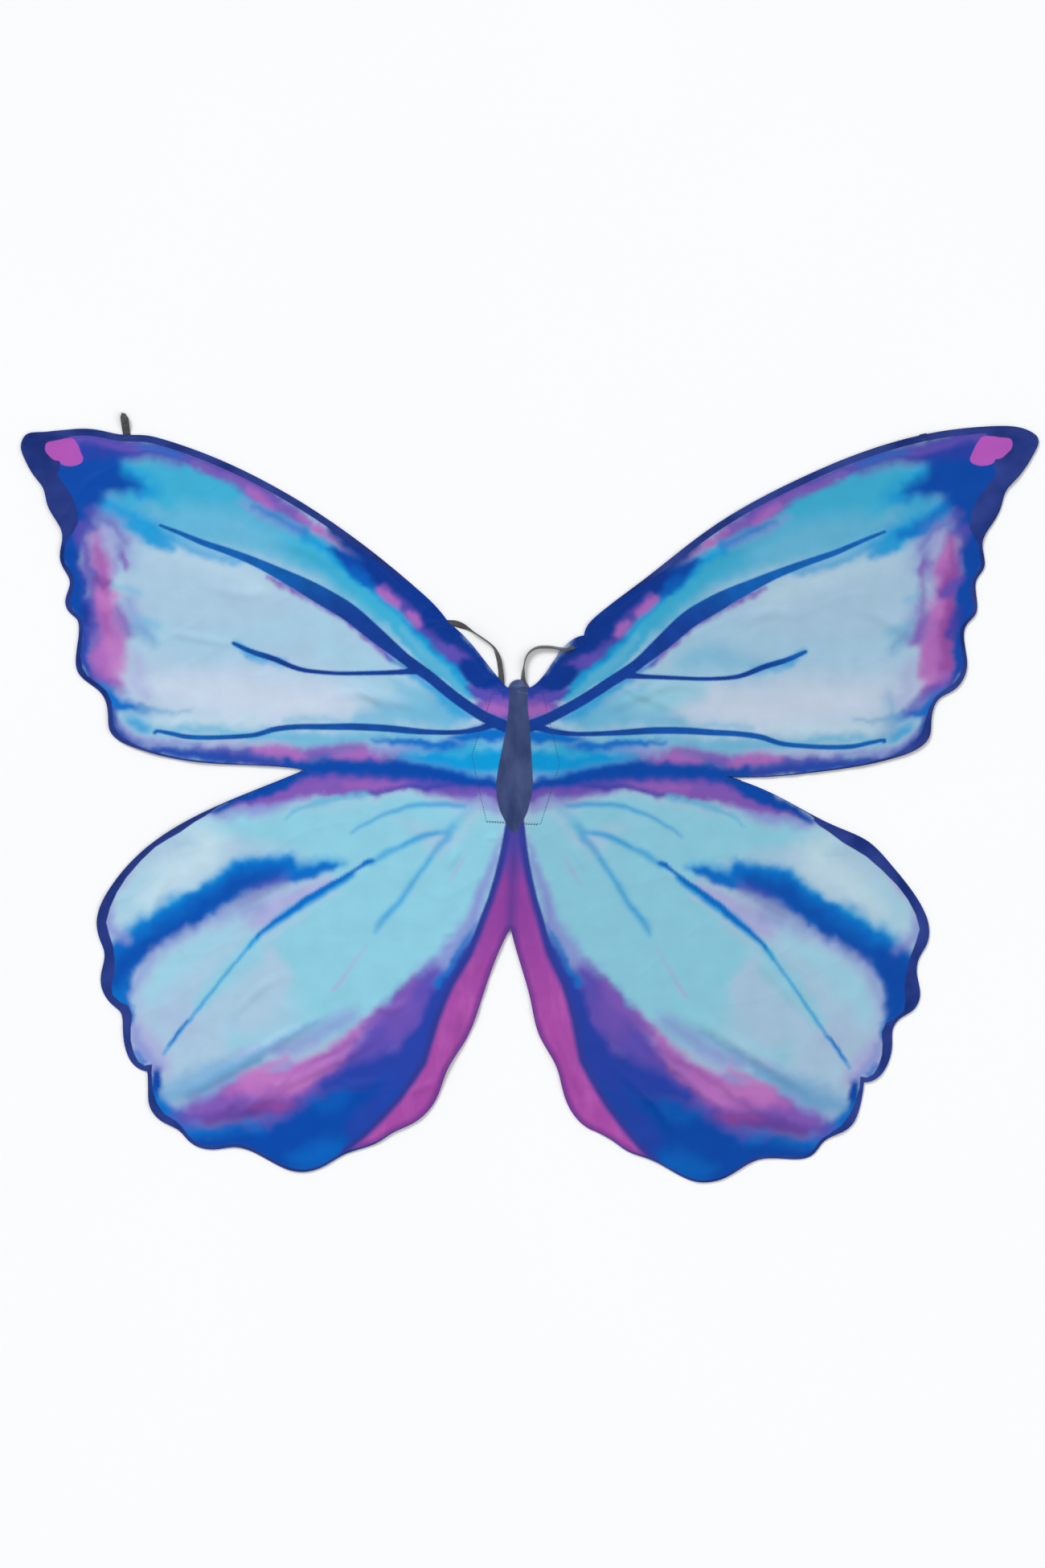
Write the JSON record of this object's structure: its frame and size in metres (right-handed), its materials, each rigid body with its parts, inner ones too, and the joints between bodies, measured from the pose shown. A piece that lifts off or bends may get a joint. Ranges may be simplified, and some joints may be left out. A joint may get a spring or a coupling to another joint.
{
  "type": "butterfly wing cape",
  "caption": "Flat satin butterfly wings that lift about the back, with elastic shoulder straps and finger loops.",
  "frame": {"origin": "on the back face of the reinforcing yoke, on the centre seam", "axes": "+X towards the right wing tip, +Y towards the head, +Z out of the printed face, up from the surface the wings lie on"},
  "size_m": [1.3275, 1.0053, 0.0084],
  "materials": {
    "printed_satin": "satin with a printed watercolour pattern",
    "hem_satin": "turned satin hem",
    "body_satin": "satin",
    "lining": "unprinted back of the satin",
    "elastic": "ribbed woven elastic",
    "thread": "sewing thread"
  },
  "bodies": {
    "back": {"left_back_panel": "printed_satin", "right_back_panel": "printed_satin", "yoke_patch": "lining", "yoke_stitching": "thread", "centre_seam": "hem_satin", "head_tab": "body_satin", "left_neck_hem": "hem_satin", "left_tail_hem": "hem_satin", "left_strap_outer_end": "elastic", "left_strap_inner_end": "elastic", "left_outer_tack": "thread", "left_inner_tack": "thread", "right_neck_hem": "hem_satin", "right_tail_hem": "hem_satin", "right_strap_outer_end": "elastic", "right_strap_inner_end": "elastic", "right_outer_tack": "thread", "right_inner_tack": "thread"},
    "left_wing": {"left_forewing": "printed_satin", "left_hindwing": "printed_satin", "left_leading_hem": "hem_satin", "left_outer_hem": "hem_satin", "left_hind_hem": "hem_satin", "left_loop_end": "elastic", "left_loop_tack": "thread"},
    "left_strap": {"left_shoulder_strap": "elastic"},
    "left_loop": {"left_finger_loop": "elastic"},
    "right_wing": {"right_forewing": "printed_satin", "right_hindwing": "printed_satin", "right_leading_hem": "hem_satin", "right_outer_hem": "hem_satin", "right_hind_hem": "hem_satin", "right_loop_end": "elastic", "right_loop_tack": "thread"},
    "right_strap": {"right_shoulder_strap": "elastic"},
    "right_loop": {"right_finger_loop": "elastic"}
  },
  "joints": [
    {"name": "left_wing_lift", "type": "hinge", "parent": "back", "child": "left_wing", "pos_m": [-0.098, 0, 0.0026], "axis": [0, 1, 0], "range_deg": [0, 85]},
    {"name": "right_wing_lift", "type": "hinge", "parent": "back", "child": "right_wing", "pos_m": [0.098, 0, 0.0026], "axis": [0, -1, 0], "range_deg": [0, 85]},
    {"name": "left_strap_lift", "type": "hinge", "parent": "back", "child": "left_strap", "pos_m": [-0.0796, 0.1758, 0.0044], "axis": [0.6598, -0.7515, 0], "range_deg": [0, 90]},
    {"name": "right_strap_lift", "type": "hinge", "parent": "back", "child": "right_strap", "pos_m": [0.0574, 0.1432, 0.0044], "axis": [0.8107, 0.5854, 0], "range_deg": [0, 90]},
    {"name": "left_loop_lift", "type": "hinge", "parent": "left_wing", "child": "left_loop", "pos_m": [-0.5097, 0.42419, 0.0012], "axis": [0.9925, 0.1219, 0], "range_deg": [0, 90]},
    {"name": "right_loop_unfold", "type": "hinge", "parent": "right_wing", "child": "right_loop", "pos_m": [0.53014, 0.42296, 0.0007], "axis": [0.9744, 0.225, 0], "range_deg": [0, 180]}
  ]
}
